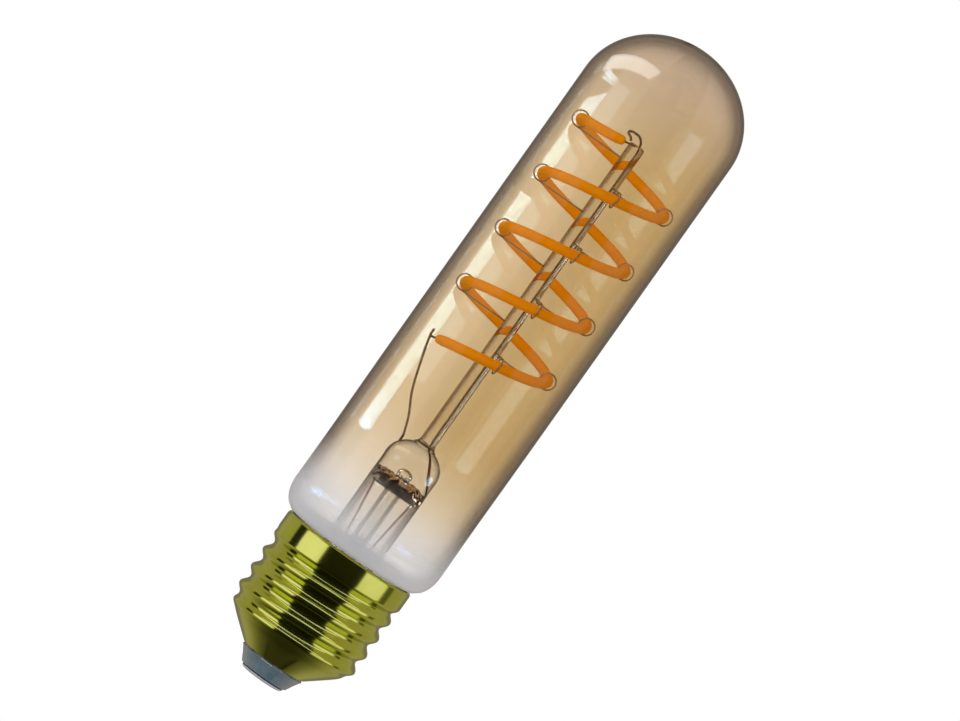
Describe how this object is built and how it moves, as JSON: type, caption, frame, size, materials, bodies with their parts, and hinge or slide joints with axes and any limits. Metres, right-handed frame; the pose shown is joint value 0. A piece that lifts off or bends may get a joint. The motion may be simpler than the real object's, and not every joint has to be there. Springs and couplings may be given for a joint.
{
  "type": "smart light bulb",
  "caption": "Tubular amber glass filament lamp with a spiral light source on a glass stem, a radio driver inside and a screw cap.",
  "frame": {"origin": "centre of the flat face of the centre contact, at the lamp's lowest point", "axes": "+Z along the lamp's axis from the contact to the glass dome; the front, seen in the picture, faces -Y; +X to the viewer's right"},
  "size_m": [0.0316, 0.0316, 0.1365],
  "materials": {
    "amber_glass": "clear amber tint, white coat fading out above the cap",
    "stem_glass": "clear",
    "phosphor": "soft orange silicone, unlit",
    "ribbon": "flexible circuit ribbon",
    "nickel_wire": "dull dark wire",
    "seal_wire": "copper-clad seal wire",
    "copper_wire": "bare copper",
    "cap_brass": "mirror-bright, green-gold",
    "insulator": "glossy blue-grey",
    "contact_metal": "satin",
    "solder": "satin",
    "cement": "matte basing cement",
    "white_plastic": "matte",
    "circuit_board": "solder mask",
    "shield_steel": "satin",
    "red_insulation": "satin",
    "capacitor_sleeve": "shrink sleeve",
    "ferrite": "matte",
    "wound_copper": "enamelled winding",
    "black_plastic": "moulded",
    "resistor_body": "lacquered",
    "blue_varistor": "lacquered disc"
  },
  "bodies": {
    "root": {"bridge_rectifier": "black_plastic", "bulk_capacitor": "capacitor_sleeve", "cap_cement": "cement", "cap_insulator": "insulator", "cap_shell": "cap_brass", "centre_contact": "contact_metal", "choke_core": "ferrite", "choke_winding": "wound_copper", "contact_solder": "solder", "driver_board": "circuit_board", "driver_chip": "black_plastic", "driver_sleeve": "white_plastic", "exhaust_tube": "stem_glass", "feed_wire_left": "copper_wire", "feed_wire_right": "copper_wire", "filament_coating": "phosphor", "filament_ribbon": "ribbon", "filament_terminal_lower": "nickel_wire", "filament_terminal_upper": "nickel_wire", "fuse_resistor": "resistor_body", "glass_envelope": "amber_glass", "lead_seal_left": "seal_wire", "lead_seal_right": "seal_wire", "lead_wire_lower": "nickel_wire", "lead_wire_upper": "nickel_wire", "live_wire": "red_insulation", "neutral_wire": "copper_wire", "output_capacitor": "capacitor_sleeve", "radio_antenna": "copper_wire", "radio_board": "circuit_board", "radio_shield": "shield_steel", "stem_flare": "stem_glass", "stem_press": "stem_glass", "stem_rod": "stem_glass", "support_wire_front_1": "nickel_wire", "support_wire_front_2": "nickel_wire", "support_wire_front_3": "nickel_wire", "support_wire_front_4": "nickel_wire", "support_wire_left_1": "nickel_wire", "support_wire_left_2": "nickel_wire", "support_wire_left_3": "nickel_wire", "support_wire_left_4": "nickel_wire", "support_wire_right_1": "nickel_wire", "support_wire_right_2": "nickel_wire", "support_wire_right_3": "nickel_wire", "support_wire_right_4": "nickel_wire", "surge_varistor": "blue_varistor"}
  },
  "joints": []
}
